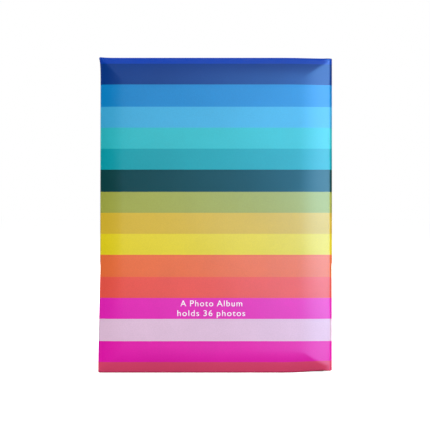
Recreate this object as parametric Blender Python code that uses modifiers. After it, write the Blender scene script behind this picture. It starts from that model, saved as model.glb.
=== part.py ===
"""Slip-in photo album for 10 x 15 cm prints, with padded, printed covers, standing closed on its lower edges.

Lengths are in metres and +Z is up. The origin is the middle of the footprint, on the surface that the
album stands on. The back cover faces -Y, the front cover +Y, and the spine is on the +X side. Each
cover turns on the spine along a vertical hinge line inside the rounded corner of the printed wrap.
The front nine leaves go with the front cover and the other nine stay with the back cover.
"""

from math import cos, pi, sin

import bmesh
import bpy
from mathutils import Matrix, Vector

MM = 0.001

# The album as a whole
WIDTH = 119.4 * MM
HEIGHT = 162.0 * MM
THICKNESS = 25.0 * MM
LEAF_COUNT = 18
SNAP = 1e-6

# Sheet materials and the glue line between two of them
WRAP = 0.4 * MM
BOARD = 1.8 * MM
PAPER = 0.3 * MM
GLUE = 0.15 * MM

# The padded face of a cover: how far its edges drop below its middle, and over what width
EDGE_DROP = 1.2 * MM
SLOPE = 12.0 * MM
EDGE_RADIUS = 1.2 * MM
PAD_DEPTH = 1.5 * MM
CROWN_STEPS = 4
TURN_IN = 12.0 * MM

# Each hinge line lies this far inside the outer corner of the closed album
HINGE_RADIUS = 1.8 * MM
HINGE_X = WIDTH / 2 - HINGE_RADIUS
HINGE_Y = THICKNESS / 2 - EDGE_DROP - HINGE_RADIUS
BOARD_END_X = HINGE_X - 2.5 * MM
ROLL_RADIUS = 1.1 * MM
ROLL_STEPS = 6
ROLL_END = 0.35 * MM
FLAT_START = 0.9 * MM

# Depths of the layers of a cover, from its highest outer point inwards
BOARD_OUT = WRAP + GLUE + PAD_DEPTH + GLUE
BOARD_IN = BOARD_OUT + BOARD
TURN_IN_FACE = BOARD_IN + GLUE + WRAP
PAPER_OUT = TURN_IN_FACE + GLUE
COVER = PAPER_OUT + PAPER
BOARD_INSET = 0.7 * MM
PAPER_INSET = 3.0 * MM

# Places of the layers of the spine, from its outer face inwards
SPINE_BOARD_X = WIDTH / 2 - WRAP - GLUE
SPINE_TURN_IN_X = SPINE_BOARD_X - BOARD - GLUE - WRAP
LINER_X = SPINE_TURN_IN_X - GLUE
BINDING_X = LINER_X - PAPER - GLUE
SPINE_FLAT_Y = HINGE_Y - 1.3 * MM
SPINE_BOARD_Y = HINGE_Y - 1.5 * MM
LINER_Y = 7.2 * MM

# One leaf: a welded film pocket, open at the top, with a card in it
LEAF = 0.6 * MM
FILM = 0.12 * MM
CARD = 0.16 * MM
COVER_TO_LEAF = 0.4 * MM
ROOT_GAP = 0.8 * MM
FORE_MARGIN = 2.4 * MM
LEAF_FOOT = 3.5 * MM
SIDE_WELD = 1.2 * MM
FOOT_WELD = 1.5 * MM
POCKET_WIDTH = 102.9 * MM
OUTER_LEAF_Y = THICKNESS / 2 - COVER - COVER_TO_LEAF - LEAF / 2
LEAF_PITCH = 2 * OUTER_LEAF_Y / (LEAF_COUNT - 1)
CARD_PLAY = 0.5 * MM

COLOURS = {
    "printed_wrap": ((0.10, 0.45, 0.62, 1.0), 0.22),
    "greyboard": ((0.42, 0.40, 0.37, 1.0), 0.9),
    "foam": ((0.93, 0.92, 0.88, 1.0), 0.95),
    "endpaper": ((0.94, 0.94, 0.93, 1.0), 0.8),
    "pocket_film": ((0.86, 0.90, 0.93, 0.4), 0.12),
    "white_card": ((0.93, 0.93, 0.91, 1.0), 0.75),
    "welded_roots": ((0.80, 0.83, 0.85, 1.0), 0.45),
}


def clear_scene():
    for found in list(bpy.data.objects):
        bpy.data.objects.remove(found, do_unlink=True)


def material(name):
    """The Principled material of that name, made once."""
    known = bpy.data.materials.get(name)
    if known:
        return known
    colour, roughness = COLOURS[name]
    made = bpy.data.materials.new(name)
    made.use_nodes = True
    shader = made.node_tree.nodes["Principled BSDF"]
    shader.inputs["Base Color"].default_value = colour
    shader.inputs["Alpha"].default_value = colour[3]
    shader.inputs["Roughness"].default_value = roughness
    shader.inputs["Metallic"].default_value = 0.0
    return made


def pivot(name, x, y, parent=None):
    """An empty on a vertical hinge line, which the pieces that turn on it are parented to."""
    empty = bpy.data.objects.new(name, None)
    empty.empty_display_size = 0.01
    album.objects.link(empty)
    empty.parent = parent
    place = Vector((x, y, 0.0))
    empty.location = place - parent.matrix_world.translation if parent else place
    bpy.context.view_layer.update()
    return empty


def piece(name, bm, finish, parent):
    """Makes one object from a bmesh drawn in the album's own frame, and hangs it on its pivot."""
    mesh = bpy.data.meshes.new(name)
    bm.to_mesh(mesh)
    bm.free()
    mesh.materials.append(material(finish))
    made = bpy.data.objects.new(name, mesh)
    album.objects.link(made)
    made.parent = parent
    made.matrix_parent_inverse = parent.matrix_world.inverted()
    return made


def add_box(bm, low, high):
    """A box between two corners, from the cube primitive. Returns its vertices."""
    low, high = Vector(low), Vector(high)
    size = Matrix.Diagonal((*(high - low), 1.0))
    return bmesh.ops.create_cube(bm, size=1.0, matrix=Matrix.Translation((low + high) / 2) @ size)["verts"]


def box(low, high):
    bm = bmesh.new()
    add_box(bm, low, high)
    return bm


def bevelled(made, width):
    bevel = made.modifiers.new("rounded_edges", "BEVEL")
    bevel.width = width
    bevel.segments = 2
    return made


def thickened(made, thickness):
    """Gives an open sheet its thickness, on the side that its faces look away from."""
    solidify = made.modifiers.new("sheet_thickness", "SOLIDIFY")
    solidify.thickness = thickness
    solidify.offset = -1.0
    solidify.use_even_offset = True
    return made


def grow(bm, edges, place):
    """Extrudes a chain of edges, moves each new corner to place(corner), and returns the new outer edges."""
    made = bmesh.ops.extrude_edge_only(bm, edges=edges)["geom"]
    corners = {found for found in made if isinstance(found, bmesh.types.BMVert)}
    for corner in corners:
        corner.co = place(corner.co)
    return [found for found in made if isinstance(found, bmesh.types.BMEdge) and set(found.verts) <= corners]


def face_towards(bm, direction):
    """Turns the faces of an open sheet so that its largest face looks along direction."""
    bmesh.ops.recalc_face_normals(bm, faces=bm.faces)
    largest = max(bm.faces, key=bmesh.types.BMFace.calc_area)
    if largest.normal.dot(direction) < 0:
        bmesh.ops.reverse_faces(bm, faces=bm.faces)


def cover_ring(side, inset, hinge_inset, depth):
    """Gives a function that moves a corner to a rectangle inset from the cover's outline, at that depth."""

    def place(corner):
        x = BOARD_END_X - hinge_inset if corner.x > 0 else inset - WIDTH / 2
        z = HEIGHT - inset if corner.z > HEIGHT / 2 else inset
        return Vector((x, side * (THICKNESS / 2 - depth), z))

    return place


def crown_rings(side, edge_inset, lowered):
    """The rings of the padded face, from its flat middle to its edge. The face drops as a parabola."""
    rings = []
    for step in range(CROWN_STEPS + 1):
        out = step / CROWN_STEPS
        inset = edge_inset + (1 - out) * (SLOPE - edge_inset)
        rings.append(cover_ring(side, inset, (1 - out) * SLOPE, lowered + EDGE_DROP * out**2))
    return rings


def crowned_face(bm, side, edge_inset, lowered):
    """Draws the padded face as one quad with rings of faces round it. Returns its outer edges."""
    rings = crown_rings(side, edge_inset, lowered)
    middle = bmesh.ops.create_grid(bm, x_segments=1, y_segments=1, size=WIDTH / 4)["verts"]
    for corner in middle:
        # The grid lies flat, so its second direction is stood up before the corner is placed.
        upright = Vector((corner.co.x, 0.0, HEIGHT / 2 + corner.co.y))
        corner.co = rings[0](upright)
    edges = list(bm.edges)
    for ring in rings[1:]:
        edges = grow(bm, edges, ring)
    return edges


def on_hinge_side(edge):
    return all(abs(corner.co.x - BOARD_END_X) < SNAP for corner in edge.verts)


def cover_wrap(side):
    """The printed sheet of one cover: padded face, rounded edges, sides, and turn-ins on three sides."""
    bm = bmesh.new()
    rim = crowned_face(bm, side, EDGE_RADIUS, 0.0)
    hinge = [edge for edge in rim if on_hinge_side(edge)]
    free = [edge for edge in rim if not on_hinge_side(edge)]
    grow(bm, hinge, lambda corner: Vector((HINGE_X, corner.y, corner.z)))
    for angle in (pi / 4, pi / 2):
        inset = EDGE_RADIUS * (1 - sin(angle))
        depth = EDGE_DROP + EDGE_RADIUS * (1 - cos(angle))
        free = grow(bm, free, cover_ring(side, inset, 0.0, depth))
    free = grow(bm, free, cover_ring(side, 0.0, 0.0, TURN_IN_FACE))
    grow(bm, free, cover_ring(side, TURN_IN, 0.0, TURN_IN_FACE))
    face_towards(bm, Vector((0.0, side, 0.0)))
    return bm


def cover_padding(side):
    """The foam sheet between the wrap and the board: flat behind, crowned in front."""
    bm = bmesh.new()
    inset = EDGE_RADIUS + 0.3 * MM
    rim = crowned_face(bm, side, inset, WRAP + GLUE)
    rim = grow(bm, rim, cover_ring(side, inset, 0.0, BOARD_OUT - GLUE))
    bmesh.ops.contextual_create(bm, geom=rim)
    bmesh.ops.recalc_face_normals(bm, faces=bm.faces)
    return bm


def cover_board(side):
    inset = BOARD_INSET
    ends = sorted(side * (THICKNESS / 2 - depth) for depth in (BOARD_OUT, BOARD_IN))
    return box((inset - WIDTH / 2, ends[0], inset), (BOARD_END_X, ends[1], HEIGHT - inset))


def cover_endpaper(side):
    """The paper pasted over the turn-ins, with the filler card behind it that levels the hollow between them."""
    bm = bmesh.new()
    ends = sorted(side * (THICKNESS / 2 - depth) for depth in (PAPER_OUT, COVER))
    low = (PAPER_INSET - WIDTH / 2, ends[0], PAPER_INSET)
    add_box(bm, low, (BOARD_END_X - GLUE, ends[1], HEIGHT - PAPER_INSET))
    back = [face for face in bm.faces if face.normal.dot(Vector((0.0, side, 0.0))) > 0.9]
    bmesh.ops.inset_region(bm, faces=back, thickness=TURN_IN - PAPER_INSET + 0.5 * MM, use_even_offset=True)
    raised = bmesh.ops.extrude_face_region(bm, geom=back)["geom"]
    corners = [found for found in raised if isinstance(found, bmesh.types.BMVert)]
    bmesh.ops.translate(bm, verts=corners, vec=(0.0, side * (PAPER_OUT - BOARD_IN - GLUE), 0.0))
    bmesh.ops.delete(bm, geom=back, context="FACES")
    bmesh.ops.recalc_face_normals(bm, faces=bm.faces)
    return bm


def build_cover(name, side, parent):
    thickened(piece(f"{name}_wrap", cover_wrap(side), "printed_wrap", parent), WRAP)
    piece(f"{name}_padding", cover_padding(side), "foam", parent)
    bevelled(piece(f"{name}_board", cover_board(side), "greyboard", parent), 0.25 * MM)
    piece(f"{name}_endpaper", cover_endpaper(side), "endpaper", parent)


def spine_profile():
    """The outer line of the spine's wrap, seen from above: a small roll round each hinge line, and the flat
    back between them. A cover's own wrap slides round the outside of the roll as the cover turns."""
    half = []
    for step in range(ROLL_STEPS + 1):
        angle = pi / 2 * (1 - step / ROLL_STEPS)
        half.append((HINGE_X + ROLL_RADIUS * cos(angle), HINGE_Y + ROLL_RADIUS * sin(angle)))
    half.append((HINGE_X + ROLL_RADIUS, HINGE_Y - ROLL_END))
    half.append((WIDTH / 2, HINGE_Y - FLAT_START))
    half.append((WIDTH / 2, SPINE_FLAT_Y))
    return half + [(x, -y) for x, y in reversed(half)]


def spine_wrap():
    """The printed sheet over the spine, turned in over both ends of the spine board."""
    bm = bmesh.new()
    corners = [bm.verts.new((x, y, 0.0)) for x, y in spine_profile()]
    foot = [bm.edges.new(pair) for pair in zip(corners, corners[1:])]
    head = grow(bm, foot, lambda corner: Vector((corner.x, corner.y, HEIGHT)))
    for edges, inner_z in ((foot, TURN_IN), (head, HEIGHT - TURN_IN)):
        flat = [edge for edge in edges if all(abs(c.co.y) < SPINE_FLAT_Y + SNAP for c in edge.verts)]
        over = grow(bm, flat, lambda corner: Vector((SPINE_TURN_IN_X, corner.y, corner.z)))
        grow(bm, over, lambda corner: Vector((corner.x, corner.y, inner_z)))
    face_towards(bm, Vector((1.0, 0.0, 0.0)))
    return bm


def page_binding():
    """The glued roots of all the leaves, a block whose two slanting faces pass through their hinge lines."""
    face_y = OUTER_LEAF_Y + LEAF / 2
    tip_x = HINGE_X - HINGE_Y
    outline = [(BINDING_X, -face_y), (BINDING_X, face_y), (tip_x + face_y, face_y), (tip_x, 0.0)]
    outline.append((tip_x + face_y, -face_y))
    bm = bmesh.new()
    corners = [bm.verts.new((x, y, LEAF_FOOT)) for x, y in outline]
    foot = bmesh.ops.contextual_create(bm, geom=corners)["faces"]
    raised = bmesh.ops.extrude_face_region(bm, geom=foot, use_keep_orig=True)["geom"]
    top = [found for found in raised if isinstance(found, bmesh.types.BMVert)]
    bmesh.ops.translate(bm, verts=top, vec=(0.0, 0.0, HEIGHT - 2 * LEAF_FOOT))
    bmesh.ops.recalc_face_normals(bm, faces=bm.faces)
    return bm


def build_spine():
    thickened(piece("spine_wrap", spine_wrap(), "printed_wrap", spine_pivot), WRAP)
    board = box(
        (SPINE_BOARD_X - BOARD, -SPINE_BOARD_Y, BOARD_INSET),
        (SPINE_BOARD_X, SPINE_BOARD_Y, HEIGHT - BOARD_INSET),
    )
    bevelled(piece("spine_board", board, "greyboard", spine_pivot), 0.25 * MM)
    liner = box((LINER_X - PAPER, -LINER_Y, PAPER_INSET), (LINER_X, LINER_Y, HEIGHT - PAPER_INSET))
    piece("spine_liner", liner, "endpaper", spine_pivot)
    piece("page_binding", page_binding(), "welded_roots", spine_pivot)


def leaf_pocket(root_x, y):
    """A welded film pocket: an outer box and the slot inside it, joined round the open top."""
    fore_x = FORE_MARGIN - WIDTH / 2
    slot = (LEAF - 2 * FILM) / 2
    bm = bmesh.new()
    add_box(bm, (fore_x, y - LEAF / 2, LEAF_FOOT), (root_x, y + LEAF / 2, HEIGHT - LEAF_FOOT))
    outer_faces = set(bm.faces)
    low = (fore_x + SIDE_WELD, y - slot, LEAF_FOOT + FOOT_WELD)
    add_box(bm, low, (fore_x + SIDE_WELD + POCKET_WIDTH, y + slot, HEIGHT - LEAF_FOOT))
    bmesh.ops.reverse_faces(bm, faces=[face for face in bm.faces if face not in outer_faces])
    tops = [face for face in bm.faces if all(c.co.z > HEIGHT - LEAF_FOOT - SNAP for c in face.verts)]
    bmesh.ops.delete(bm, geom=tops, context="FACES_ONLY")
    bmesh.ops.bridge_loops(bm, edges=[edge for edge in bm.edges if edge.is_boundary])
    bmesh.ops.recalc_face_normals(bm, faces=bm.faces)
    return bm


def leaf_card(y):
    fore_x = FORE_MARGIN - WIDTH / 2 + SIDE_WELD
    low = (fore_x + CARD_PLAY, y - CARD / 2, LEAF_FOOT + FOOT_WELD + CARD_PLAY)
    return box(low, (fore_x + POCKET_WIDTH - CARD_PLAY, y + CARD / 2, HEIGHT - LEAF_FOOT - CARD_PLAY))


def build_leaf(number):
    """Leaf 1 lies behind the front cover and the last leaf in front of the back cover. Its hinge line lies
    on the diagonal from the nearer cover's hinge line, so that leaves stay parallel as they turn together."""
    y = OUTER_LEAF_Y - (number - 1) * LEAF_PITCH
    x = HINGE_X - (HINGE_Y - abs(y))
    turn = pivot(f"leaf_{number:02d}_pivot", x, y, spine_pivot)
    piece(f"leaf_{number:02d}_pocket", leaf_pocket(x - ROOT_GAP, y), "pocket_film", turn)
    piece(f"leaf_{number:02d}_card", leaf_card(y), "white_card", turn)


clear_scene()
album = bpy.data.collections.new("photo_album")
bpy.context.scene.collection.children.link(album)

back_pivot = pivot("album_base", 0.0, 0.0)
spine_pivot = pivot("spine_pivot", HINGE_X, -HINGE_Y, back_pivot)
front_pivot = pivot("front_cover_pivot", HINGE_X, HINGE_Y, spine_pivot)

build_cover("back", -1, back_pivot)
build_cover("front", 1, front_pivot)
build_spine()
for leaf_number in range(1, LEAF_COUNT + 1):
    build_leaf(leaf_number)
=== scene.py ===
from math import cos, pi, radians, sin, tan

import bmesh
import bpy
import numpy as np
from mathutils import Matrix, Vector


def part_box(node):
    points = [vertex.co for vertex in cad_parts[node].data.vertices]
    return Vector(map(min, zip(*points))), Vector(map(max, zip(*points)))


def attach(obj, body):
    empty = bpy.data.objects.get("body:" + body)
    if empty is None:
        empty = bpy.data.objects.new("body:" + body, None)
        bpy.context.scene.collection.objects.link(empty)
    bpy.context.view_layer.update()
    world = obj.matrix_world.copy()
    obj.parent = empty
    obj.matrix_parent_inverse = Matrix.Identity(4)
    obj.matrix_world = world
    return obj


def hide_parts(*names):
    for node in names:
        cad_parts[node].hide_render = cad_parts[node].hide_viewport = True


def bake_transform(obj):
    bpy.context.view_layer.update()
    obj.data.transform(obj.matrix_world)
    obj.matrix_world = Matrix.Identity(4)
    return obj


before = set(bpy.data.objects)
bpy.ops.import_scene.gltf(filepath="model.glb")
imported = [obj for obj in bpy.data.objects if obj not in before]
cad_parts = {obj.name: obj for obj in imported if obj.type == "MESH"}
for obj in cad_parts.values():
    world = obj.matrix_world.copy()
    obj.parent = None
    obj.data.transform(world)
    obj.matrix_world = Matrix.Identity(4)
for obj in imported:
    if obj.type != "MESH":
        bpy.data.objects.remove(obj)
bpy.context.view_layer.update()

# ---------------------------------------------------------------------------------------------------
# Printed wrap of the two covers.
# A sheet of printed and gloss laminated paper, pulled over foam and greyboard. It is glued down on
# the inside of the board along the fore-edge, head and foot, with a mitred fold at each corner.
# ---------------------------------------------------------------------------------------------------
MM = 0.001
BACK, FRONT = -1, 1
COVERS = (("back", BACK), ("front", FRONT))
wrap_low, wrap_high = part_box("back_wrap")
ALBUM_HEIGHT = wrap_high.z - wrap_low.z
FORE_X = wrap_low.x
FACE_Y = abs(wrap_low.y)
BOARD_END_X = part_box("back_board")[1].x
INSIDE_DEPTH = FACE_Y - abs(wrap_high.y)
WRAP_THICKNESS = 0.36 * MM
EDGE_DROP = 1.2 * MM
SLOPE_WIDTH = 12 * MM
EDGE_RADIUS = 1.2 * MM
INNER_RADIUS = 0.45 * MM
TURN_IN_WIDTH = 12 * MM
MITRE_STEP = 0.12 * MM
MITRE_CLIMB = 8
MITRE_SHARPNESS = 9
CALM_WIDTH = 5 * MM
PUCKER_FADE = 4.5 * MM
SPINE_FACE_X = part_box("spine_wrap")[1].x
HINGE_X = wrap_high.x
CORNER_RADIUS = SPINE_FACE_X - HINGE_X
HINGE_Y = FACE_Y - EDGE_DROP - CORNER_RADIUS
MEET_ANGLE = radians(8.8)
MEET_X = HINGE_X + CORNER_RADIUS * sin(MEET_ANGLE)
MEET_DEPTH = EDGE_DROP + CORNER_RADIUS * (1 - cos(MEET_ANGLE))
HINGE_RUN = 2 * MEET_DEPTH / tan(MEET_ANGLE)
FORE_PULL = {BACK: 0.36 * MM, FRONT: 0.25 * MM}
FORE_FLARE = {BACK: 0.95 * MM, FRONT: 0.4 * MM}
FLARE_HEIGHT = 62 * MM
PULL_FADE = 15 * MM
FOOT_LIFT = 1.1 * MM
HEAD_DROP = 0.4 * MM
FOOT_FADE = 15 * MM
HEAD_FADE = 40 * MM
RISE_FROM_X, RISE_TO_X = 34 * MM, 61 * MM
EAR = 1.0 * MM
EAR_LIFT = 0.5
EAR_FADE_X, EAR_FADE_Z = 2.2 * MM, 2.6 * MM
MERGE_DISTANCE = 0.002 * MM
CORNER_STEPS, CORNER_POWER = 9, 3
OVER_STEPS, WALL_STEPS, UNDER_STEPS, FLAP_STEPS = 8, 3, 5, 6
FLAP_START = 0.04


def ease(share):
    """The smooth step 3 s^2 - 2 s^3 of a share held between 0 and 1."""
    share = np.clip(share, 0, 1)
    return share * share * (3 - 2 * share)


def slow_waves(x, z):
    """The slight unevenness of stuffed foam: four long sine waves in different directions, some 0.02 mm
    high, and near the head and foot short puckers across the edge that die away within some 10 mm."""
    waves = 0.016 * np.sin(x / (9.1 * MM) + 0.7) * np.sin(z / (12.7 * MM) + 1.9)
    waves += 0.014 * np.sin((x + 0.6 * z) / (7.9 * MM)) + 0.012 * np.sin((z - 0.4 * x) / (5.7 * MM) + 2.2)
    waves += 0.006 * np.sin((x - 1.3 * z) / (3.1 * MM) + 0.4)
    edge = np.minimum(z, ALBUM_HEIGHT - z)
    waves += 0.014 * np.sin(x / (1.35 * MM) + 2 * np.sin(x / (6.3 * MM))) * np.exp(-edge / PUCKER_FADE)
    return waves * MM


def hinge_slope(x):
    """The drop of the padded face beside the spine, as a share of the edge drop: the square of the way
    along the run. The run ends on the corner circle, at the angle where both lean alike."""
    way = np.clip(1 - (MEET_X - x) / HINGE_RUN, 0, 1)
    return way**2 * MEET_DEPTH / EDGE_DROP


def padded_depth(x, z):
    """How far the padded face lies behind its flat middle. From each edge the drop is the square of the
    share of the slope still to climb. A high power sum joins the four, which leaves a soft mitre, and
    slow waves are laid over it that end at the hinge side."""
    fore = np.clip(1 - (x - FORE_X - EDGE_RADIUS) / (SLOPE_WIDTH - EDGE_RADIUS), 0, 1) ** 2
    hinge = hinge_slope(x)
    end = np.minimum(z, ALBUM_HEIGHT - z) - EDGE_RADIUS
    end = np.clip(1 - end / (SLOPE_WIDTH - EDGE_RADIUS), 0, 1) ** 2
    joined = (fore**MITRE_SHARPNESS + hinge**MITRE_SHARPNESS + end**MITRE_SHARPNESS) ** (1 / MITRE_SHARPNESS)
    calm = ease((MEET_X - x) / CALM_WIDTH)
    return EDGE_DROP * np.minimum(joined, np.maximum(hinge, 1)) + slow_waves(x, z) * calm


def settled(points, side):
    """The covers aren't quite square: the fore-edge is drawn in towards the head and flares out towards
    the foot. Towards the spine the foot rises a little and the head drops. These moves fade out from the
    edge inwards. The head corner of the fore-edge stands out in an ear that falls off exponentially."""
    x, y, z = points[..., 0], points[..., 1], points[..., 2]
    height = np.clip(z / ALBUM_HEIGHT, 0, 1)
    pull = FORE_PULL[side] * height - FORE_FLARE[side] * ease(1 - z / FLARE_HEIGHT)
    pull = pull * ease(1 - (x - FORE_X) / PULL_FADE)
    ear = EAR * np.exp(-(ALBUM_HEIGHT - z) / EAR_FADE_Z - (x - FORE_X) / EAR_FADE_X)
    pull = pull - ear
    lift = FOOT_LIFT * ease(1 - z / FOOT_FADE) - HEAD_DROP * ease(1 - (ALBUM_HEIGHT - z) / HEAD_FADE)
    lift = lift * ease((x - RISE_FROM_X) / (RISE_TO_X - RISE_FROM_X)) + EAR_LIFT * ear
    return np.stack([x + pull, y, z + lift], axis=-1)


def spaced(low, high, slope, fine, coarse):
    """Places from low to high, closer together over the slope at either end."""
    first = np.linspace(low, low + slope, fine, endpoint=False)
    middle = np.linspace(low + slope, high - slope, coarse, endpoint=False)
    return np.concatenate([first, middle, np.linspace(high - slope, high, fine + 1)])


def skin(name, grids, outward):
    """Makes one mesh of grids of points. Each cell of a grid is a face, points that coincide are merged,
    and the faces are turned so that together they look along outward."""
    points = np.concatenate([grid.reshape(-1, 3) for grid in grids])
    cells, start = [], 0
    for grid in grids:
        index = np.arange(grid.shape[0] * grid.shape[1]).reshape(grid.shape[:2]) + start
        corners = (index[:-1, :-1], index[1:, :-1], index[1:, 1:], index[:-1, 1:])
        cells.append(np.stack(corners, axis=-1).reshape(-1, 4))
        start += index.size
    mesh = bpy.data.meshes.new(name)
    mesh.from_pydata(points.tolist(), [], np.concatenate(cells).tolist())
    bm = bmesh.new()
    bm.from_mesh(mesh)
    bmesh.ops.remove_doubles(bm, verts=bm.verts, dist=MERGE_DISTANCE)
    bmesh.ops.recalc_face_normals(bm, faces=bm.faces)
    looks = sum((face.normal * face.calc_area() for face in bm.faces), Vector())
    if looks.dot(Vector(outward)) < 0:
        bmesh.ops.reverse_faces(bm, faces=bm.faces)
    bm.to_mesh(mesh)
    bm.free()
    made = bpy.data.objects.new(name, mesh)
    bpy.context.scene.collection.objects.link(made)
    return made


def finished(made, finish, thickness=0.0, offset=-1.0, sharp=38):
    """Gives an open sheet its thickness, shades it smooth between sharp folds, and gives it its finish."""
    if thickness:
        solidify = made.modifiers.new("thickness", "SOLIDIFY")
        solidify.thickness = thickness
        solidify.offset = offset
        evaluated = made.evaluated_get(bpy.context.evaluated_depsgraph_get())
        made.data = bpy.data.meshes.new_from_object(evaluated)
        made.modifiers.clear()
    made.data.materials.clear()
    made.data.materials.append(finish)
    made.data.shade_smooth()
    made.data.set_sharp_from_angle(angle=radians(sharp))
    return made


def cover_outline(x_places, z_places):
    """The way round a cover from the hinge end of its foot, past the fore-edge, to the hinge end of its
    head: the points on the rim of the padded face, and at each the direction outwards. At the two
    corners the direction fans round a quarter of a superellipse, which leaves the corner nearly square."""
    turn = np.linspace(0, pi / 2, CORNER_STEPS)[1:-1]
    reach = (np.cos(turn) ** CORNER_POWER + np.sin(turn) ** CORNER_POWER) ** (-1 / CORNER_POWER)
    fan = np.stack([-np.sin(turn) * reach, -np.cos(turn) * reach], axis=-1)
    x_low, z_low, z_high = x_places[0], z_places[0], z_places[-1]
    foot = np.stack([x_places[::-1], np.full(len(x_places), z_low)], axis=-1)
    fore = np.stack([np.full(len(z_places), x_low), z_places], axis=-1)
    head = np.stack([x_places, np.full(len(x_places), z_high)], axis=-1)
    low_corner = np.tile([x_low, z_low], (len(turn), 1))
    high_corner = np.tile([x_low, z_high], (len(turn), 1))
    rim = np.concatenate([foot, low_corner, fore, high_corner, head])
    outwards = [np.tile([0.0, -1.0], (len(foot), 1)), fan, np.tile([-1.0, 0.0], (len(fore), 1))]
    outwards += [fan[::-1] * [1, -1], np.tile([0.0, 1.0], (len(head), 1))]
    on_fore = np.zeros(len(rim), bool)
    middle = len(turn) // 2
    on_fore[len(foot) + middle : len(foot) + len(turn) + len(fore) + middle + 1] = True
    return rim, np.concatenate(outwards), on_fore


def cover_rim(x_places, z_places, side):
    """The edge of a cover, carried round its outline: a quarter circle over the padded edge, the side of
    the board, a smaller quarter circle, and the flap that is turned in over the board's inside. The
    fore-edge flap lies a step above the other two, with the step on the mitre."""
    rim, outwards, on_fore = cover_outline(x_places, z_places)
    rim_depth = padded_depth(rim[:, 0], rim[:, 1])
    over = np.linspace(0, pi / 2, OVER_STEPS)
    under = np.linspace(0, pi / 2, UNDER_STEPS)
    flat = np.linspace(FLAP_START, 1, FLAP_STEPS)
    out = [EDGE_RADIUS * np.sin(over), [EDGE_RADIUS] * WALL_STEPS]
    out += [EDGE_RADIUS - INNER_RADIUS * (1 - np.cos(under)), [EDGE_RADIUS - INNER_RADIUS] * len(flat)]
    side_depth = INSIDE_DEPTH - EDGE_DROP
    wall = np.linspace(EDGE_RADIUS, side_depth - INNER_RADIUS, WALL_STEPS + 2)[1:-1]
    depth = [EDGE_RADIUS * (1 - np.cos(over)), wall]
    depth += [side_depth - INNER_RADIUS * (1 - np.sin(under)), [side_depth] * len(flat)]
    out, depth = np.concatenate(out), np.concatenate(depth)
    flap = np.concatenate([np.zeros(len(out) - len(flat)), flat])
    outer = rim[:, None] + outwards[:, None] * out[None, :, None]
    inner_low = np.array([FORE_X + TURN_IN_WIDTH, TURN_IN_WIDTH])
    inner = np.clip(outer, inner_low, [BOARD_END_X, ALBUM_HEIGHT - TURN_IN_WIDTH])
    flat_place = outer + (inner - outer) * flap[None, :, None]
    level = ease(depth / side_depth)[None, :]
    full_depth = rim_depth[:, None] * (1 - level) + EDGE_DROP * level + depth[None, :]
    full_depth += np.where(on_fore, MITRE_STEP, 0)[:, None] * ease(flap * MITRE_CLIMB)[None, :]
    y = side * (FACE_Y - full_depth)
    return np.stack([flat_place[..., 0], y, flat_place[..., 1]], axis=-1)


def padded_face(x_places, z_places, side, lowered=0.0):
    """The padded face over the rectangle of its places: each point lies behind the album's face by the
    padded depth there, and by how much the face is lowered."""
    x, z = np.meshgrid(x_places, z_places, indexing="ij")
    return np.stack([x, side * (FACE_Y - lowered - padded_depth(x, z)), z], axis=-1)


class Wire:
    """One output of a node in a finish. Arithmetic on it adds Math nodes."""

    def __init__(self, finish, socket):
        self.finish, self.socket = finish, socket

    def math(self, operation, *values):
        return self.finish.node("Math", {"operation": operation}, list(values))

    def __add__(self, other):
        return self.math("ADD", self, other)

    def __radd__(self, other):
        return self.math("ADD", other, self)

    def __sub__(self, other):
        return self.math("SUBTRACT", self, other)

    def __rsub__(self, other):
        return self.math("SUBTRACT", other, self)

    def __mul__(self, other):
        return self.math("MULTIPLY", self, other)

    def __rmul__(self, other):
        return self.math("MULTIPLY", other, self)

    def capped(self, most=1.0):
        return self.math("MINIMUM", self, most)

    def rise(self, start, end, low=0.0, high=1.0):
        """Goes smoothly from low to high as the value goes from start to end."""
        sockets = {"Value": self, "From Min": start, "From Max": end, "To Min": low, "To Max": high}
        return self.finish.node("MapRange", {"interpolation_type": "SMOOTHSTEP"}, sockets, "Result")


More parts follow.
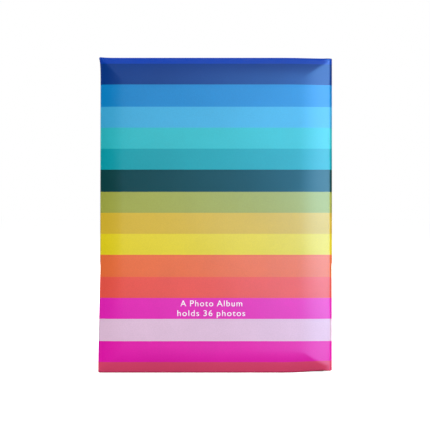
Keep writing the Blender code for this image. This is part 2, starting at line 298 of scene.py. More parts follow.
class Finish:
    """A material on one Principled shader, whose constant values are set on the shader's own sockets."""

    def __init__(self, name, **constants):
        self.material = bpy.data.materials.new(name)
        self.material.use_nodes = True
        self.nodes = self.material.node_tree.nodes
        self.links = self.material.node_tree.links
        self.shader = self.nodes["Principled BSDF"]
        for socket, value in constants.items():
            self.shader.inputs[socket.replace("_", " ")].default_value = value
        self.place = self.node("TexCoord", {}, {}, "Object")

    def node(self, kind, settings, sockets, output=0):
        """Adds a node of that kind: settings first, a ramp's stops among them, then values or links."""
        made = self.nodes.new("ShaderNode" + kind)
        for setting, value in settings.items():
            if setting == "stops":
                made.color_ramp.interpolation = "CONSTANT"
                stops = made.color_ramp.elements
                stops[1].position = 0.999
                for place, colour in value[1:-1]:
                    stops.new(place)
                for stop, (place, colour) in zip(stops, value):
                    stop.position, stop.color = place, (*colour, 1)
            else:
                setattr(made, setting, value)
        named = enumerate(sockets) if isinstance(sockets, list) else sockets.items()
        for socket, value in named:
            found = [s for s in made.inputs if s.identifier == socket]
            target = found[0] if found else made.inputs[socket]
            if isinstance(value, Wire):
                self.links.new(value.socket, target)
            else:
                target.default_value = value
        found = [s for s in made.outputs if s.identifier == output]
        return Wire(self, found[0] if found else made.outputs[output])

    def noise(self, scale, detail=2.0, stretch=(1, 1, 1)):
        """Cloudy noise with scale blobs to the metre, drawn out by stretch. Its values centre on 0.5."""
        place = self.node("Mapping", {}, {"Vector": self.place, "Scale": stretch})
        return self.node("TexNoise", {}, {"Vector": place, "Scale": scale, "Detail": detail}, "Fac")

    def axes(self):
        """The x, y and z places on the piece, in metres."""
        split = self.node("SeparateXYZ", {}, {"Vector": self.place})
        return [Wire(self, socket) for socket in split.socket.node.outputs]

    def mix(self, share, first, second, blend="MIX"):
        """Mixes two colours by a share."""
        sockets = {"Factor_Float": share, "A_Color": first, "B_Color": second}
        return self.node("Mix", {"data_type": "RGBA", "blend_type": blend}, sockets, "Result_Color")

    def shade(self, **wires):
        """Links wires to the shader's sockets."""
        for socket, wire in wires.items():
            self.links.new(wire.socket, self.shader.inputs[socket.replace("_", " ")])

    def bump(self, height, depth):
        """Raises the surface by height, a value from 0 to 1, times depth in metres."""
        made = self.node("Bump", {}, {"Height": height, "Distance": depth, "Strength": 1.0}, "Normal")
        self.shade(Normal=made)


# The print: sixteen stripes from the foot to the head. The foot and head cut the first and last short.
STRIPE_HEIGHT = 10.93 * MM
FOOT_STRIPE = 5.5 * MM
STRIPES = [
    ("crimson", (0.654, 0.050, 0.134)),
    ("magenta", (0.715, 0.005, 0.371)),
    ("pale lilac", (0.700, 0.486, 0.642)),
    ("magenta", (0.708, 0.013, 0.419)),
    ("coral red", (0.744, 0.082, 0.057)),
    ("coral orange", (0.739, 0.142, 0.037)),
    ("yellow", (0.690, 0.564, 0.008)),
    ("mustard", (0.595, 0.404, 0.023)),
    ("olive", (0.317, 0.342, 0.052)),
    ("dark teal", (0.002, 0.042, 0.044)),
    ("teal", (0.000, 0.286, 0.338)),
    ("turquoise", (0.021, 0.405, 0.452)),
    ("light blue", (0.040, 0.336, 0.577)),
    ("azure", (0.000, 0.186, 0.473)),
    ("deep blue", (0.000, 0.028, 0.182)),
    ("royal blue", (0.000, 0.036, 0.337)),
]
WORN_FORE, WORN_END = 1.1 * MM, 1.0 * MM
WEAR_STRENGTH = 0.045


def laminated_print():
    """Offset print under a clear gloss film. The stripes move with the sheet where settling lifts it. The
    ink has a slight mottle and a little wear on the sharp folds, and the film a faint orange peel, fine
    scratches and a few handling smears."""
    finish = Finish("laminated_print", Coat_Weight=0.4, Coat_Roughness=0.26, Coat_IOR=1.5)
    finish.shader.inputs["Specular IOR Level"].default_value = 0.2
    x, _, z = finish.axes()
    foot_lift = (1 - z.rise(0, FOOT_FADE)) * FOOT_LIFT
    head_drop = z.rise(ALBUM_HEIGHT - HEAD_FADE, ALBUM_HEIGHT) * HEAD_DROP
    lift = (foot_lift - head_drop) * x.rise(RISE_FROM_X, RISE_TO_X)
    height = (z - lift) * (1 / ALBUM_HEIGHT)
    stops = [(0.0, STRIPES[0][1])]
    for number, (_, colour) in enumerate(STRIPES[1:]):
        stops.append(((FOOT_STRIPE + number * STRIPE_HEIGHT) / ALBUM_HEIGHT, colour))
    ink = finish.node("ValToRGB", {"stops": stops}, {"Fac": height}, "Color")
    grain = finish.noise(2600, 3.0).rise(0.3, 0.7, 0.955, 1.03)
    clouds = finish.noise(45, 2.0).rise(0.3, 0.7, 0.97, 1.02)
    mottle = grain * clouds
    grey = finish.node("CombineColor", {}, {"Red": mottle, "Green": mottle, "Blue": mottle}, "Color")
    ink = finish.mix(1.0, ink, grey, "MULTIPLY")
    near_fore = 1 - x.rise(FORE_X, FORE_X + WORN_FORE)
    near_end = (1 - z.rise(0, WORN_END)) + z.rise(ALBUM_HEIGHT - WORN_END, ALBUM_HEIGHT)
    scuffs = finish.noise(2600, 4.0).rise(0.52, 0.75)
    wear = (near_fore + near_end).capped() * scuffs * WEAR_STRENGTH
    ink = finish.mix(wear, ink, (0.82, 0.82, 0.80, 1))
    smears = finish.noise(38, 3.0, (1, 1, 0.35)).rise(0.45, 0.7)
    scratches = finish.noise(900, 2.0, (0.05, 1, 1)).rise(0.62, 0.7)
    finish.shade(Base_Color=ink, Roughness=0.40 + smears * 0.06 + scratches * 0.05 + wear * 1.2)
    finish.bump(finish.noise(520, 2.0) + finish.noise(4200, 2.0) * 0.12, 0.004 * MM)
    return finish.material


print_finish = laminated_print()
x_lines = spaced(FORE_X + EDGE_RADIUS, BOARD_END_X, SLOPE_WIDTH, fine=26, coarse=56)
z_lines = spaced(EDGE_RADIUS, ALBUM_HEIGHT - EDGE_RADIUS, SLOPE_WIDTH, fine=26, coarse=84)


def wrap_cover(name, side):
    """The padded face and the rim of one cover, both settled, as one sheet of the wrap's thickness."""
    face = settled(padded_face(x_lines, z_lines, side), side)
    rim = settled(cover_rim(x_lines, z_lines, side), side)
    return finished(skin(f"{name}_printed_wrap", [face, rim], (0, side, 0)), print_finish, WRAP_THICKNESS)


for cover_name, cover_side in COVERS:
    cover = wrap_cover(f"{cover_name}_cover", cover_side)
    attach(cover, f"{cover_name}_cover")
    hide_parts(f"{cover_name}_wrap")

# ---------------------------------------------------------------------------------------------------
# Printed wrap of the two joints and the spine.
# The same sheet carries on from each cover round the hinge and over the spine board. At head and foot
# it is folded over on itself in the joint and round the board on the spine.
# ---------------------------------------------------------------------------------------------------
FOLDED_DEPTH = 0.86 * MM
FOLD_RADIUS = 0.42 * MM
SPINE_DEPTH = SPINE_FACE_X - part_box("spine_wrap")[0].x
SPINE_BOARD_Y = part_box("spine_board")[1].y
JOINT_REACH = 0.25
SLOPE_STEPS, TURN_STEPS, SPINE_STEPS = 11, 17, 26
LEAVING_RUN = 1.9 * MM
BOARD_START, BOARD_SHORTER = 0.2 * MM, 0.1 * MM
JOINT_INNER_RADIUS = 0.4 * MM
SPINE_EXTRA_RADIUS = 0.2 * MM
SPINE_WAVE, SPINE_WAVE_RUN = 0.02 * MM, 8.3 * MM


def joint_line():
    """The outer line of the wrap seen from above: down the last of the padded slope to the corner circle,
    round that circle, and straight to the middle of the spine. With each point comes its outward
    direction and how far it is along the line."""
    slope_x = np.linspace(BOARD_END_X, MEET_X, SLOPE_STEPS)[:-1]
    slope = np.stack([slope_x, EDGE_DROP * hinge_slope(slope_x) - FACE_Y], axis=-1)
    lean = np.arctan(2 * (slope_x - MEET_X + HINGE_RUN) * MEET_DEPTH / HINGE_RUN**2)
    turn = np.linspace(MEET_ANGLE, pi / 2, TURN_STEPS)
    around = np.stack([np.sin(turn), -np.cos(turn)], axis=-1)
    corner = np.array([HINGE_X, -HINGE_Y]) + CORNER_RADIUS * around
    spine_y = np.linspace(-HINGE_Y, 0, SPINE_STEPS + 1)[1:]
    spine = np.stack([np.full(SPINE_STEPS, SPINE_FACE_X), spine_y], axis=-1)
    line = np.concatenate([slope, corner, spine])
    leaning = np.stack([np.sin(lean), -np.cos(lean)], axis=-1)
    outward = np.concatenate([leaning, around, np.tile([1.0, 0.0], (SPINE_STEPS, 1))])
    along = np.concatenate([[0], np.cumsum(np.linalg.norm(np.diff(line, axis=0), axis=1))])
    return line, outward, along


def wrap_joint(name, side):
    """The joint line carried up the album. At each end the sheet goes round a quarter circle, along the
    thickness of what it covers, round a second quarter circle, and back as a turned-in flap. The first
    circle and the thickness ease from the cover's to the joint's, and then to the spine board's."""
    line, outward, along = joint_line()
    leaving = 1 - ease(along / LEAVING_RUN)
    on_spine = ease((line[:, 1] + HINGE_Y - BOARD_START) / (HINGE_Y - SPINE_BOARD_Y - BOARD_SHORTER))
    radius = FOLD_RADIUS + (EDGE_RADIUS - FOLD_RADIUS) * leaving + SPINE_EXTRA_RADIUS * on_spine
    depth = FOLDED_DEPTH + (INSIDE_DEPTH - EDGE_DROP - FOLDED_DEPTH) * leaving
    depth += (SPINE_DEPTH - FOLDED_DEPTH) * on_spine
    inner = np.full(len(line), JOINT_INNER_RADIUS)
    theta = np.linspace(0, pi / 2, OVER_STEPS)[:, None]
    phi = np.linspace(0, pi / 2, UNDER_STEPS)[:, None]
    flap = np.linspace(0, 1, FLAP_STEPS)[1:, None]
    drop = EDGE_DROP * (1 - np.minimum(hinge_slope(line[:, 0]), 1))
    outer = drop + radius * (1 - np.cos(theta))
    inward = [outer, drop + depth - inner * (1 - np.sin(phi)), (drop + depth) * np.ones_like(flap)]
    rise = [radius * (1 - np.sin(theta)), inner * (1 - np.cos(phi)), inner + (TURN_IN_WIDTH - inner) * flap]
    inward, rise = np.concatenate(inward), np.concatenate(rise)
    share = ((z_lines - z_lines[0]) / (z_lines[-1] - z_lines[0]))[1:-1, None]
    body = radius + (ALBUM_HEIGHT - 2 * radius) * share
    column = np.broadcast_to(line[:, 0], body.shape)
    unevenness = padded_depth(column, body) - EDGE_DROP * hinge_slope(column)
    unevenness = np.where(column < MEET_X, unevenness, 0)
    unevenness = unevenness + SPINE_WAVE * np.sin(body / SPINE_WAVE_RUN) * on_spine
    inward = np.concatenate([inward[::-1], unevenness, inward])
    height = np.concatenate([rise[::-1], body, ALBUM_HEIGHT - rise])
    place = line[None] - outward[None] * inward[..., None]
    points = np.stack([place[..., 0], place[..., 1] * -side, height], axis=-1)
    return finished(skin(name, [settled(points, side)], (1, side, 0)), print_finish, WRAP_THICKNESS)


for cover_name, cover_side in COVERS:
    joint = wrap_joint(f"{cover_name}_joint_and_half_spine_wrap", cover_side)
    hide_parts("spine_wrap")
    extra = JOINT_REACH * CORNER_RADIUS
    bend_start = (HINGE_X - extra, cover_side * (HINGE_Y + CORNER_RADIUS + extra), ALBUM_HEIGHT / 2)
    bend_end = (SPINE_FACE_X + extra, cover_side * (HINGE_Y - extra), ALBUM_HEIGHT / 2)
    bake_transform(joint)

# ---------------------------------------------------------------------------------------------------
# Foam pads.
# A sheet of white polyurethane foam, 1.5 mm thick, laid between the print and the board of each cover.
# It is glued to the board and thins to the edges, where the print is drawn tight over it.
# ---------------------------------------------------------------------------------------------------
PAD_LOWERED = 0.5 * MM
PAD_INSET = 0.4 * MM
PAD_LEAN = [0.997, 0, 0.998]
PAD_BULGE = [0.004, 0, 0.003]
PAD_SIDE_STEPS = 6
pad_low, pad_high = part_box("back_padding")
PAD_BACK_DEPTH = FACE_Y - abs(pad_high.y)


def foam():
    """Open-celled foam: an off-white ground that yellows a little in patches. Its small pore hollows are
    darkened as painted shade.
    """
    finish = Finish("polyurethane_foam", Roughness=0.95)
    sockets = {"Vector": finish.place, "Scale": 2600.0}
    pores_and_shade = finish.node("TexVoronoi", {"feature": "F1"}, sockets, "Distance").rise(0.1, 0.55)
    pale = finish.mix(finish.noise(60).rise(0.35, 0.65), (0.90, 0.89, 0.84, 1), (0.88, 0.84, 0.72, 1))
    # The pore mask darkens the colour as painted shade in the hollows, and also sets roughness and bump.
    finish.shade(Base_Color=finish.mix(pores_and_shade, (0.55, 0.53, 0.47, 1), pale), Roughness=1 - pores_and_shade * 0.1)
    finish.bump(pores_and_shade, 0.12 * MM)
    return finish.material


def foam_pad(name, side, finish):
    """The padded face set lower, closed by sides that bulge by half a sine wave and lean in to a flat
    back, which is drawn together to its middle."""
    x_places = spaced(pad_low.x + PAD_INSET, pad_high.x - PAD_INSET, SLOPE_WIDTH, fine=12, coarse=40)
    z_places = spaced(pad_low.z + PAD_INSET, pad_high.z - PAD_INSET, SLOPE_WIDTH, fine=12, coarse=60)
    top = padded_face(x_places, z_places, side, PAD_LOWERED)
    ring = np.concatenate([top[:-1, 0], top[-1, :-1], top[:0:-1, -1], top[0, ::-1]])
    centre = np.array([(pad_low.x + pad_high.x) / 2, 0, ALBUM_HEIGHT / 2])
    way = np.linspace(0, 1, PAD_SIDE_STEPS)[:, None, None]
    to_back = [0, side * (FACE_Y - PAD_BACK_DEPTH), 0]
    back = ring * PAD_LEAN + to_back
    sides = ring * (1 - way) + back * way
    sides += (ring - centre) * PAD_BULGE * np.sin(pi * way)
    under = back * (1 - way) + (centre + to_back) * way
    return finished(skin(name, [top, sides, under], (0, side, 0)), finish)


foam_finish = foam()
for cover_name, cover_side in COVERS:
    pad = foam_pad(f"{cover_name}_foam_pad", cover_side, foam_finish)
    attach(pad, f"{cover_name}_cover")
    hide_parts(f"{cover_name}_padding")

# ---------------------------------------------------------------------------------------------------
# Boards of the covers and the spine.
# Greyboard, 1.8 mm thick, cut with a guillotine. It is glued inside the wrap, and stiffens the covers
# and the spine.
# ---------------------------------------------------------------------------------------------------


def greyboard():
    """Recycled pulp: grey-brown, flecked with dark and pale fibres that lie along the board."""
    finish = Finish("greyboard")
    flecks = finish.noise(2200, 4.0, (1, 1, 0.3))
    dark = flecks.rise(0.58, 0.66)
    pale = finish.noise(1700, 4.0, (0.3, 1, 1)).rise(0.60, 0.68)
    ground = finish.mix(finish.noise(90, 3.0), (0.36, 0.34, 0.31, 1), (0.47, 0.45, 0.41, 1))
    ground = finish.mix(dark * 0.6, ground, (0.17, 0.15, 0.13, 1))
    colour = finish.mix(pale * 0.5, ground, (0.70, 0.68, 0.63, 1))
    finish.shade(Base_Color=colour, Roughness=0.86 + flecks * 0.1)
    finish.bump(flecks, 0.06 * MM)
    return finish.material


def face_nodes(names, finish):
    """Gives each of the named nodes of the frame its finish."""
    for name in names:
        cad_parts[name].data.materials.clear()
        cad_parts[name].data.materials.append(finish)


face_nodes(("back_board", "front_board", "spine_board"), greyboard())

# ---------------------------------------------------------------------------------------------------
# Endpapers, spine liner and joint linings.
# White uncoated paper, pasted inside each cover over the turned-in print and down the back of the
# page block. A strip of the same paper bridges the gap at each hinge.
# ---------------------------------------------------------------------------------------------------
LINING_THICKNESS = 0.14 * MM
LINING_LAP = 2.4 * MM
LINING_PROUD = 0.02 * MM
LINER_LAP, LINER_GAP = 0.05 * MM, 0.04 * MM
TURN_EARLY = 0.1 * MM
BEND_LAP = 0.05 * MM
LINING_STEPS = 40
liner_low, liner_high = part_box("spine_liner")


def endpaper():
    """Uncoated paper: a fine felt of fibres, with a cloudy look-through and a hint of grey."""
    finish = Finish("endpaper")
    fibres = finish.noise(3800, 4.0, (1, 1, 0.35))
    clouds = finish.noise(240, 3.0)
    colour = finish.mix(clouds, (0.84, 0.84, 0.83, 1), (0.92, 0.92, 0.90, 1))
    colour = finish.mix(fibres.rise(0.56, 0.7) * 0.35, colour, (0.74, 0.73, 0.70, 1))
    finish.shade(Base_Color=colour, Roughness=0.78 + fibres * 0.15)
    finish.bump(fibres + clouds * 0.5, 0.02 * MM)
    return finish.material


paper_finish = endpaper()
face_nodes(("back_endpaper", "front_endpaper", "spine_liner"), paper_finish)


def joint_lining(name, side):
    """A strip from the endpaper's inner face to the edge of the spine liner. Its line is straight along
    the endpaper, then eases inwards and down to the liner."""
    paper_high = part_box("back_endpaper")[1]
    start_x, end_x = paper_high.x - LINING_LAP, liner_low.x + LINER_LAP
    start_y, end_y = abs(paper_high.y) - LINING_PROUD, liner_high.y + LINER_GAP
    share = np.linspace(0, 1, LINING_STEPS)
    x = start_x + (end_x - start_x) * share
    turning = ease((x - paper_high.x + TURN_EARLY) / (end_x - paper_high.x))
    y = -(start_y + (end_y - start_y) * turning)
    z = np.linspace(liner_low.z, liner_high.z, LINING_STEPS)
    points = np.zeros((len(x), len(z), 3))
    points[..., 0], points[..., 1], points[..., 2] = x[:, None], y[:, None] * -side, z[None, :]
    lining = finished(skin(name, [points], (0, -side, 0)), paper_finish, LINING_THICKNESS, 0.0)
    bend_start = (paper_high.x - BEND_LAP, side * start_y, ALBUM_HEIGHT / 2)
    bend_end = (end_x, side * end_y, ALBUM_HEIGHT / 2)
    return lining, bend_start, bend_end


for cover_name, cover_side in COVERS:
    lining, bend_start, bend_end = joint_lining(f"{cover_name}_joint_lining", cover_side)
    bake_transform(lining)

# ---------------------------------------------------------------------------------------------------
# Page binding.
# The roots of the eighteen leaves, welded and hot-glued in one block that is stuck to the spine liner.
# Each root ends where its leaf starts to bend, so the block is a wedge with a step at each leaf.
# ---------------------------------------------------------------------------------------------------
LEAF_COUNT = sum(name.endswith("_pocket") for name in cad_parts)
block_low, block_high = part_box("page_binding")
ROOT_THICKNESS = 0.72 * MM
GROOVE = 0.16 * MM
ROOT_ROUNDING = 0.04 * MM
ROOT_STEP = 0.03 * MM
BLOCK_SETBACK = 0.3 * MM
GLUE_HEIGHT = 0.05 * MM
BLOCK_STEPS = 30


def leaf_places():
    """The y place of each leaf and the x place of the line that it bends on, from front to back."""
    boxes = [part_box(f"leaf_{number + 1:02d}_pocket") for number in range(LEAF_COUNT)]
    y = np.array([(low.y + high.y) / 2 for low, high in boxes])
    return y, HINGE_X - (HINGE_Y - np.abs(y))


def page_block():
    """A rectangle in the x-z plane, carried along y through the roots. Between two roots it shrinks by
    the groove, and at each root its front edge steps to where that leaf bends. Its head has low waves of
    glue along it."""
    leaf_y, bend_x = leaf_places()
    half = ROOT_THICKNESS / 2
    stations = [leaf_y - half - ROOT_STEP, leaf_y - half, leaf_y, leaf_y + half, leaf_y + half + ROOT_STEP]
    y = np.stack(stations).T.ravel()
    shrink = np.tile([GROOVE, ROOT_ROUNDING, 0.0, ROOT_ROUNDING, GROOVE], LEAF_COUNT)
    front = np.repeat(bend_x, len(stations)) + BLOCK_SETBACK + shrink
    order = np.argsort(y)
    y, shrink, front = y[order], shrink[order], front[order]
    glue = GLUE_HEIGHT * np.sin(np.linspace(0, 40, BLOCK_STEPS))
    low_z, high_z, back_x = block_low.z + shrink, block_high.z - shrink, block_high.x
    share = np.linspace(0, 1, BLOCK_STEPS)[None, :]
    head_x = front[:, None] + (back_x - front)[:, None] * share
    head = np.stack([head_x, high_z[:, None] + glue * np.sin(pi * share)], axis=-1)
    foot_x = back_x + (front - back_x)[:, None] * share
    foot = np.stack([foot_x, low_z[:, None] + 0 * share], axis=-1)
    ring = np.concatenate([head, foot, head[:, :1]], axis=1)
    points = np.stack([ring[..., 0], np.broadcast_to(y[:, None], ring.shape[:2]), ring[..., 1]], axis=-1)
    ends = []
    for end in (points[0], points[-1]):
        centre = end[:-1].mean(axis=0)
        ends.append(np.stack([end, np.broadcast_to(centre, end.shape)]))
    return [points, *ends]


def welded_film():
    """Many layers of clear film fused together: milky, with the grain of the welding bar across it."""
    finish = Finish("welded_roots", IOR=1.49)
    grain = finish.noise(1500, 2.0, (1, 0.3, 0.15))
    glue = finish.noise(420, 3.0).rise(0.5, 0.7)
    colour = finish.mix(grain, (0.68, 0.71, 0.73, 1), (0.85, 0.87, 0.88, 1))
    colour = finish.mix(glue * 0.5, colour, (0.86, 0.80, 0.62, 1))
    finish.shade(Base_Color=colour, Roughness=0.38 + grain * 0.2)
    finish.bump(grain + glue * 0.4, 0.05 * MM)
    return finish.material


block = finished(skin("page_block_of_welded_roots", page_block(), (1, 0, 0)), welded_film(), sharp=30)
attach(block, "spine")
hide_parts("page_binding")

# ---------------------------------------------------------------------------------------------------
# Leaves.
# Each is a pocket of two clear polypropylene films, welded along the fore-edge, foot and root and open
# at the head, with a white card in it. A thumb notch is cut at the head.
# ---------------------------------------------------------------------------------------------------
FILM_THICKNESS = 0.09 * MM
CARD_THICKNESS = 0.16 * MM
MOUTH_GAP = 0.44 * MM
WELD_GAP = 0.11 * MM
SIDE_WELD = 1.2 * MM
FOOT_WELD = 1.5 * MM
ROOT_WELD = 8.4 * MM
ROOT_LAP = 1.4 * MM
OPEN_AT_FORE, OPEN_AT_ROOT, OPEN_AT_FOOT = 2.2 * MM, 3.5 * MM, 2.5 * MM
OPEN_FROM = 0.8
NOTCH_DEPTH = 2.6 * MM
NOTCH_WIDTH = 9 * MM
NOTCH_REACH = 1.6
FREE_FROM = 8 * MM
POCKET_COLUMNS, POCKET_ROWS = 22, 24
WELD_COLUMNS, BEND_COLUMNS = 4, 10
CARD_COLUMNS, CARD_ROWS = 26, 36
SWAY_FADE = 40 * MM
SHARED_SWAY, OWN_SWAY = 0.10, 0.03
BEND_START, BEND_END = 0.2 * MM, 1.1 * MM


def leaf_sway(x, z, number):
    """How far a leaf leans out of its plane: one slow wave that all leaves share, and a smaller one of its
    own, both in millimetres at first. Both fade out towards the root."""
    free = ease((HINGE_X - x) / SWAY_FADE)
    shared = SHARED_SWAY * np.sin(z / (31 * MM) + 0.5) * np.sin(x / (23 * MM))
    own = OWN_SWAY * np.sin(z / (17 * MM) + 1.7 * number) * np.cos(x / (14 * MM) + 2.3 * number)
    return (shared + own) * free * MM


def film_pocket(number, y, bend_x):
    """Two films with a gap between them. The gap is that of the weld near the three closed sides and
    opens to that of the mouth inside them. The films share their edge points on the closed sides. At the
    head a smooth step takes the notch out of both."""
    low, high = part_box(f"leaf_{number:02d}_pocket")
    root_x = bend_x + ROOT_LAP
    slot_end = high.x - ROOT_WELD
    x = np.concatenate([
        [low.x, low.x + 0.5 * SIDE_WELD],
        np.linspace(low.x + SIDE_WELD, slot_end, POCKET_COLUMNS),
        np.linspace(slot_end, high.x, WELD_COLUMNS)[1:],
        np.linspace(high.x, root_x, BEND_COLUMNS)[1:],
    ])
    foot_rows = [0, 0.5 * FOOT_WELD, FOOT_WELD, 2.4 * FOOT_WELD]
    share = np.concatenate([foot_rows, np.linspace(FREE_FROM, high.z - low.z, POCKET_ROWS)])
    share = share / (high.z - low.z)
    column = np.abs((x - (low.x + slot_end) / 2) / NOTCH_WIDTH)
    notch = NOTCH_DEPTH * ease(1 - column / NOTCH_REACH)
    grid_x = np.broadcast_to(x[:, None], (len(x), len(share)))
    grid_z = low.z + (high.z - low.z - notch[:, None]) * share[None, :]
    opened = ease((grid_x - low.x - SIDE_WELD * OPEN_FROM) / OPEN_AT_FORE)
    opened = opened * ease((slot_end - grid_x) / OPEN_AT_ROOT)
    opened = opened * ease((grid_z - low.z - FOOT_WELD * OPEN_FROM) / OPEN_AT_FOOT)
    gap = WELD_GAP + (MOUTH_GAP - WELD_GAP) * opened
    closed = np.zeros_like(gap, bool)
    closed[0], closed[-1], closed[:, 0] = True, True, True
    gap = np.where(closed, 0, gap)
    middle = y + leaf_sway(grid_x, grid_z, number)
    return [np.stack([grid_x, middle + side * gap / 2, grid_z], axis=-1) for side in (BACK, FRONT)]


def clear_film():
    """Clear polypropylene: cast film with faint draw lines, hazier where it is welded along its edges."""
    finish = Finish("clear_film", Base_Color=(0.86, 0.89, 0.91, 1), IOR=1.49)
    x, _, z = finish.axes()
    fore_weld = 1 - x.rise(FORE_X + 3.3 * MM, FORE_X + 3.7 * MM)
    foot_weld = 1 - z.rise(4.9 * MM, 5.2 * MM)
    root_weld = x.rise(46.6 * MM, 47.2 * MM)
    welds = (fore_weld + foot_weld + root_weld).capped()
    bands = {"wave_type": "BANDS", "bands_direction": "Z"}
    ribs = finish.node("TexWave", bands, {"Vector": finish.place, "Scale": 900.0}, "Fac")
    draw = finish.noise(700, 2.0, (0.03, 1, 1))
    finish.shade(Alpha=0.16 + welds * 0.4 + draw * 0.06, Roughness=0.10 + welds * 0.22 + draw * 0.05)
    finish.bump(draw + welds * ribs * 2.0, 0.02 * MM)
    return finish.material


def white_card():
    """Smooth white card, with the faint grain of its fibres."""
    finish = Finish("white_card")
    grain = finish.noise(3000, 4.0, (1, 1, 0.4))
    colour = finish.mix(grain.rise(0.3, 0.75), (0.90, 0.90, 0.89, 1), (0.83, 0.83, 0.81, 1))
    finish.shade(Base_Color=colour, Roughness=0.62 + grain * 0.12)
    finish.bump(grain, 0.015 * MM)
    return finish.material


def pocket_card(number, y, finish):
    """A rectangular card. Each of its points is moved out of the card's plane by the sway of its leaf."""
    low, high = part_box(f"leaf_{number:02d}_card")
    columns, rows = np.linspace(low.x, high.x, CARD_COLUMNS), np.linspace(low.z, high.z, CARD_ROWS)
    x, z = np.meshgrid(columns, rows, indexing="ij")
    points = np.stack([x, y + leaf_sway(x, z, number), z], axis=-1)
    return finished(skin(f"leaf_{number:02d}_white_card", [points], (0, 1, 0)), finish, CARD_THICKNESS, 0.0)


film_finish, card_finish = clear_film(), white_card()
all_y, all_bends = leaf_places()
for number, (leaf_y, leaf_bend_x) in enumerate(zip(all_y, all_bends), start=1):
    body = f"leaf_{number:02d}"
    pocket = skin(f"{body}_film_pocket", film_pocket(number, leaf_y, leaf_bend_x), (0, 1, 0))
    finished(pocket, film_finish, FILM_THICKNESS, 0.0, sharp=60)
    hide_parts(f"{body}_pocket")
    bend_start = (leaf_bend_x + BEND_START, leaf_y, ALBUM_HEIGHT / 2)
    bend_end = (leaf_bend_x - BEND_END, leaf_y, ALBUM_HEIGHT / 2)
    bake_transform(pocket)
    card = pocket_card(number, leaf_y, card_finish)
    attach(card, body)
    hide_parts(f"{body}_card")

# ---------------------------------------------------------------------------------------------------
# Lettering on the back.
# Two centred lines of plain words on the back cover. They are part of the printed sheet: the white of
# the paper, where the ink of the magenta stripe stops round each letter, under the same gloss film.
# ---------------------------------------------------------------------------------------------------
LETTER_PROUD = 0.025 * MM
LETTER_HEIGHT = 3.0 * MM
LETTER_SPACING, WORD_SPACING = 1.16, 0.8
TEXT_MIDDLE_X = -2.4 * MM
# Each line's words, its width, and the height of the foot of its letters.
LINES = [
    ("A Photo Album", 31.7 * MM, 34.35 * MM),
    ("holds 36 photos", 34.8 * MM, 29.35 * MM),
]


def white_ink():
    """The bare white of the paper under the gloss film, with a breath of the ink round it."""
    finish = Finish("white_letters", Coat_Weight=0.65, Coat_Roughness=0.07)
    tint = finish.noise(2600, 3.0)
    colour = finish.mix(tint, (0.95, 0.93, 0.95, 1), (0.90, 0.86, 0.90, 1))
    finish.shade(Base_Color=colour, Roughness=0.3 + tint * 0.05)
    return finish.material


def letters(name, words, width, base_z, finish):
    """One line of words as flat letters. They are scaled to their width and height, and each point is set
    on the padded face, a little proud of it."""
    text = bpy.data.curves.new(name, "FONT")
    text.body = words
    text.size = 1.0
    text.space_character = LETTER_SPACING
    text.space_word = WORD_SPACING
    text.resolution_u = 5
    shape = bpy.data.objects.new(name, text)
    bpy.context.scene.collection.objects.link(shape)
    bpy.context.view_layer.update()
    mesh = bpy.data.meshes.new_from_object(shape.evaluated_get(bpy.context.evaluated_depsgraph_get()))
    bpy.data.objects.remove(shape)
    points = np.zeros(len(mesh.vertices) * 3)
    mesh.vertices.foreach_get("co", points)
    points = points.reshape(-1, 3)
    x = (points[:, 0] - points[:, 0].min()) * width / np.ptp(points[:, 0]) - width / 2 + TEXT_MIDDLE_X
    z = points[:, 1] * LETTER_HEIGHT / points[:, 1].max() + base_z
    y = -(FACE_Y - padded_depth(x, z)) - LETTER_PROUD
    mesh.vertices.foreach_set("co", np.stack([x, y, z], axis=-1).ravel())
    mesh.name = name
    made = bpy.data.objects.new(name, mesh)
    bpy.context.scene.collection.objects.link(made)
    mesh.materials.clear()
    mesh.materials.append(finish)
    return made


letter_finish = white_ink()
for number, (words, width, base_z) in enumerate(LINES, start=1):
    line = letters(f"lettering_line_{number}", words, width, base_z, letter_finish)
    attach(line, "back_cover")

# ---------------------------------------------------------------------------------------------------
# Studio.
# A wide floor of white background paper under white air, neither of which lights the album. Two cool
# boxes on the right make the sheen beside the spine, two strips make it for the other sides, and five
# neutral fills light the colours.
# ---------------------------------------------------------------------------------------------------
CAMERA_DISTANCE = 0.75
PICTURE_HEIGHT = 220.5 * MM
SENSOR = 36.0
FLOOR_RADIUS = 30.0
middle = Vector((0.5 * MM, 0, ALBUM_HEIGHT / 2 + 0.15 * MM))


def floor_disc():
    """A disc in rings whose radius grows as the cube of the ring's number, so that it reaches far out."""
    ring, turn = np.meshgrid(np.linspace(0.02, 1, 24), np.linspace(0, 2 * pi, 97), indexing="ij")
    radius = FLOOR_RADIUS * ring**3
    return np.stack([radius * np.cos(turn), radius * np.sin(turn), np.zeros_like(turn)], axis=-1)


def white_paper():
    """White background paper that shines by itself, so that no shadow or horizon shows on it."""
    finish = Finish("floor_paper", Roughness=0.95, Emission_Color=(1, 1, 1, 1), Emission_Strength=1.0)
    finish.shader.inputs["Specular IOR Level"].default_value = 0.0
    tone = finish.noise(5.0, 2.0)
    finish.shade(Base_Color=finish.mix(tone, (0.95, 0.95, 0.95, 1), (0.98, 0.98, 0.98, 1)))
    return finish.material


floor = finished(skin("studio_floor", [floor_disc()], (0, 0, 1)), white_paper(), sharp=60)
floor.visible_glossy = False
floor.visible_diffuse = False


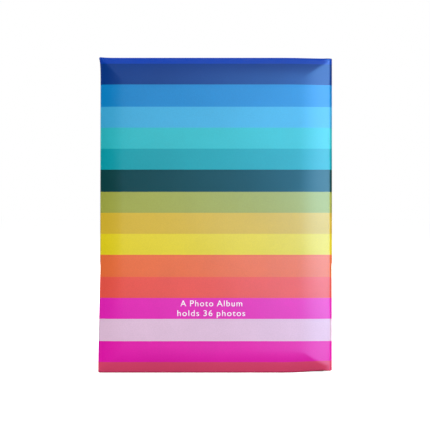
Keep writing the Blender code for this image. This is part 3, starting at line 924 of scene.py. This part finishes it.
def softbox(name, direction, distance, size, power, colour, in_gloss):
    """An area light that faces the album from a direction: degrees round from the camera's side, and
    degrees up. It either shows in gloss alone or lights the colours alone."""
    lamp = bpy.data.lights.new(name, "AREA")
    lamp.shape = "RECTANGLE"
    lamp.size, lamp.size_y = size
    lamp.energy = power
    lamp.color = colour
    made = bpy.data.objects.new(name, lamp)
    bpy.context.scene.collection.objects.link(made)
    azimuth, elevation = radians(direction[0]), radians(direction[1])
    away = Vector((sin(azimuth) * cos(elevation), -cos(azimuth) * cos(elevation), sin(elevation)))
    made.location = middle + away * distance
    made.rotation_mode = "QUATERNION"
    made.rotation_quaternion = away.to_track_quat("Z", "Y")
    made.visible_glossy = in_gloss
    made.visible_diffuse = not in_gloss


# Each lamp's name, direction, distance, width and height, power and colour.
WHITE = (1, 1, 1)
GLOSS_LAMPS = [
    ("cool_box_right", (30.5, 6), 0.48, (0.235, 0.32), 2.3, (0.42, 0.72, 1.0)),
    ("cool_box_front", (16, 4), 0.7, (0.3, 0.4), 3.4, (0.08, 0.49, 1.0)),
    ("strip_left", (-75, 20), 1.2, (0.25, 0.9), 2.0, WHITE),
    ("strip_behind", (160, 25), 1.2, (0.4, 0.9), 3.0, WHITE),
]
FILL_LAMPS = [
    ("fill_front", (10, 15), 1.6, (1.0, 1.0), 27.0, WHITE),
    ("fill_behind", (172, 20), 1.6, (1.0, 1.0), 25.0, WHITE),
    ("fill_left", (-95, 20), 1.6, (0.8, 1.0), 16.0, WHITE),
    ("fill_right", (85, 20), 1.6, (0.8, 1.0), 16.0, WHITE),
    ("fill_top", (10, 80), 1.6, (1.2, 1.2), 14.0, WHITE),
]
for lamp_values in GLOSS_LAMPS:
    softbox(*lamp_values, in_gloss=True)
for lamp_values in FILL_LAMPS:
    softbox(*lamp_values, in_gloss=False)
world = bpy.data.worlds.new("studio_air")
world.use_nodes = True
world.node_tree.nodes["Background"].inputs["Color"].default_value = (1, 1, 1, 1)
world.node_tree.nodes["Background"].inputs["Strength"].default_value = 1.0
world.cycles_visibility.glossy = False
world.cycles_visibility.diffuse = False
bpy.context.scene.world = world
bpy.context.scene.view_settings.view_transform = "Standard"

camera = bpy.data.cameras.new("camera")
camera.sensor_width = SENSOR
camera.lens = SENSOR * CAMERA_DISTANCE / PICTURE_HEIGHT
camera_object = bpy.data.objects.new("camera", camera)
bpy.context.scene.collection.objects.link(camera_object)
camera_object.location = (-middle.x, -FACE_Y - CAMERA_DISTANCE, middle.z)
camera_object.rotation_euler = (pi / 2, 0, 0)
camera.clip_start, camera.clip_end = 0.01, 20
bpy.context.scene.camera = camera_object
